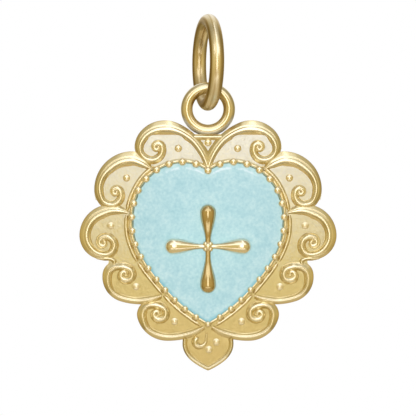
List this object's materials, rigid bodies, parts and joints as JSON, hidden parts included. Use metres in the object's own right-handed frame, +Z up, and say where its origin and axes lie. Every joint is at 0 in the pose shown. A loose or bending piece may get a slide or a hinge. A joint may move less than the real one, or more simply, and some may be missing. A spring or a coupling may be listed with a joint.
{
  "type": "cross charm",
  "caption": "Folk heart charm: scalloped gilt plate with applied scrolls, pale turquoise heart in a beaded bezel, a gold cross on it, and a jump ring to hang it by.",
  "frame": {"origin": "centre of the jump ring, where a chain passes", "axes": "+Z up along the charm's height, front face towards -Y, +X to the right seen from the front"},
  "size_m": [0.018, 0.0066, 0.0251],
  "materials": {
    "polished_gold": "polished",
    "satin_gold": "satin",
    "bright_gold": "polished",
    "turquoise": "polished"
  },
  "bodies": {
    "jump_ring": {"jump_ring": "polished_gold"},
    "pendant": {"top_loop": "polished_gold", "back_plate": "satin_gold", "scroll_left_1": "polished_gold", "scroll_left_2": "polished_gold", "scroll_left_3": "polished_gold", "scroll_left_4": "polished_gold", "scroll_left_5": "polished_gold", "scroll_right_1": "polished_gold", "scroll_right_2": "polished_gold", "scroll_right_3": "polished_gold", "scroll_right_4": "polished_gold", "scroll_right_5": "polished_gold", "tail_rim": "polished_gold", "tail_curl": "polished_gold", "border_wires": "polished_gold", "heart_bezel": "polished_gold", "bezel_grains": "bright_gold", "field_grains": "bright_gold", "heart_inlay": "turquoise", "cross": "bright_gold"}
  },
  "joints": [
    {"name": "pendant_swing", "type": "hinge", "parent": "jump_ring", "child": "pendant", "pos_m": [0, 0, -0.00179], "axis": [1, 0, 0], "range_deg": [-60, 60]}
  ]
}
